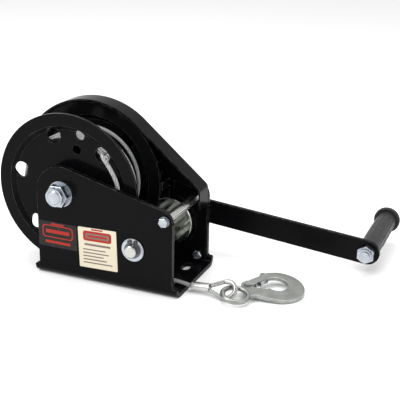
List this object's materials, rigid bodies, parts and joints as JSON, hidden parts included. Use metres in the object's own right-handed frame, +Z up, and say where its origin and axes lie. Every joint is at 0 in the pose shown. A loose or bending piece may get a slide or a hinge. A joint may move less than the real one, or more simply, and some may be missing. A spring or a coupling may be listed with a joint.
{
  "type": "trailer winch",
  "caption": "Hand-cranked brake winch with a geared wire-rope drum on a bent steel channel frame, a long crank with a turning grip and a snap hook on the rope.",
  "frame": {"origin": "middle of the base's underside, on the surface that the winch is bolted to", "axes": "+X along the channel to the end where the rope leaves, +Y across the channel to the crank side, +Z up"},
  "size_m": [0.4302, 0.292, 0.1975],
  "materials": {
    "black_enamel": "gloss black enamel",
    "black_drum": "gloss black enamel",
    "black_arm": "satin black powder coat",
    "zinc": "bright zinc plate",
    "bright_steel": "turned and polished steel",
    "gear_steel": "machined steel with oil",
    "dark_steel": "plain steel",
    "bronze": "sintered bronze",
    "friction": "moulded friction lining",
    "spring_steel": "spring steel",
    "wire_rope": "galvanised strands",
    "crimp": "pressed aluminium",
    "hook_zinc": "zinc-plated forging",
    "grip_black": "moulded hard plastic",
    "label_dark": "printed vinyl",
    "label_light": "printed vinyl"
  },
  "bodies": {
    "frame": {"frame_channel": "black_enamel", "gear_guard": "black_enamel", "guard_bolts": "zinc", "guard_nuts": "zinc", "tie_bolt": "zinc", "tie_washers": "zinc", "tie_nut": "zinc", "axle_bolt": "zinc", "axle_washers": "zinc", "axle_nut": "zinc", "shaft_washer": "zinc", "pawl_pin": "zinc", "tie_spacer": "bright_steel", "axle_spacer": "dark_steel", "bush_near": "bronze", "bush_rear": "bronze", "rope_free": "wire_rope", "rope_eye": "wire_rope", "ferrule": "crimp", "thimble": "crimp", "hook": "hook_zinc", "latch_rivet": "hook_zinc", "label_dark": "label_dark", "label_light": "label_light"},
    "drum": {"drum_flange_near": "black_drum", "drum_flange_far": "black_drum", "drum_barrel": "black_drum", "drum_hub": "dark_steel", "drum_bushes": "bronze", "drum_gear": "gear_steel", "rope_wound": "wire_rope", "rope_anchor": "wire_rope", "rope_stop": "crimp"},
    "shaft": {"drive_shaft": "bright_steel", "pinion": "gear_steel", "pinion_flange": "bright_steel", "shaft_circlip": "zinc", "brake_plate": "zinc", "friction_disc_inner": "friction", "friction_disc_outer": "friction"},
    "crank": {"crank_hub": "zinc", "crank_arm": "black_arm", "hub_washer": "zinc", "hub_nut": "zinc", "grip_bolt": "zinc", "grip_washer": "zinc", "grip_nut": "zinc"},
    "ratchet": {"ratchet_wheel": "gear_steel"},
    "pawl": {"pawl": "gear_steel", "pawl_spring": "spring_steel"},
    "grip": {"grip_sleeve": "grip_black", "grip_end": "grip_black"},
    "latch": {"hook_latch": "hook_zinc", "latch_spring": "spring_steel"}
  },
  "joints": [
    {"name": "drum_spin", "type": "hinge", "parent": "frame", "child": "drum", "pos_m": [-0.0525, 0, 0.1035], "axis": [0, 1, 0], "continuous": true},
    {"name": "shaft_spin", "type": "hinge", "parent": "frame", "child": "shaft", "pos_m": [0.03757, 0, 0.0515], "axis": [0, 1, 0], "continuous": true},
    {"name": "crank_release", "type": "hinge", "parent": "shaft", "child": "crank", "pos_m": [0.03757, 0, 0.0515], "axis": [0, 1, 0], "range_deg": [0, 15]},
    {"name": "ratchet_turn", "type": "hinge", "parent": "frame", "child": "ratchet", "pos_m": [0.03757, 0, 0.0515], "axis": [0, 1, 0], "range_deg": [-4, 0]},
    {"name": "pawl_lift", "type": "hinge", "parent": "frame", "child": "pawl", "pos_m": [0.0299, 0, 0.0793], "axis": [0, 1, 0], "range_deg": [0, 18], "stiffness_Nm_per_rad": 0.02, "springref_deg": -17.19},
    {"name": "grip_spin", "type": "hinge", "parent": "crank", "child": "grip", "pos_m": [0.26716, 0, 0.03], "axis": [0, 1, 0], "continuous": true},
    {"name": "latch_open", "type": "hinge", "parent": "frame", "child": "latch", "pos_m": [0.15615, -0.00529, 0.00966], "axis": [-0.1301, 0.0911, -0.9873], "range_deg": [0, 24], "stiffness_Nm_per_rad": 0.01, "springref_deg": -20.05}
  ],
  "couplings": [
    {"joint": "shaft_spin", "follows": "drum_spin", "ratio": -4.2}
  ]
}
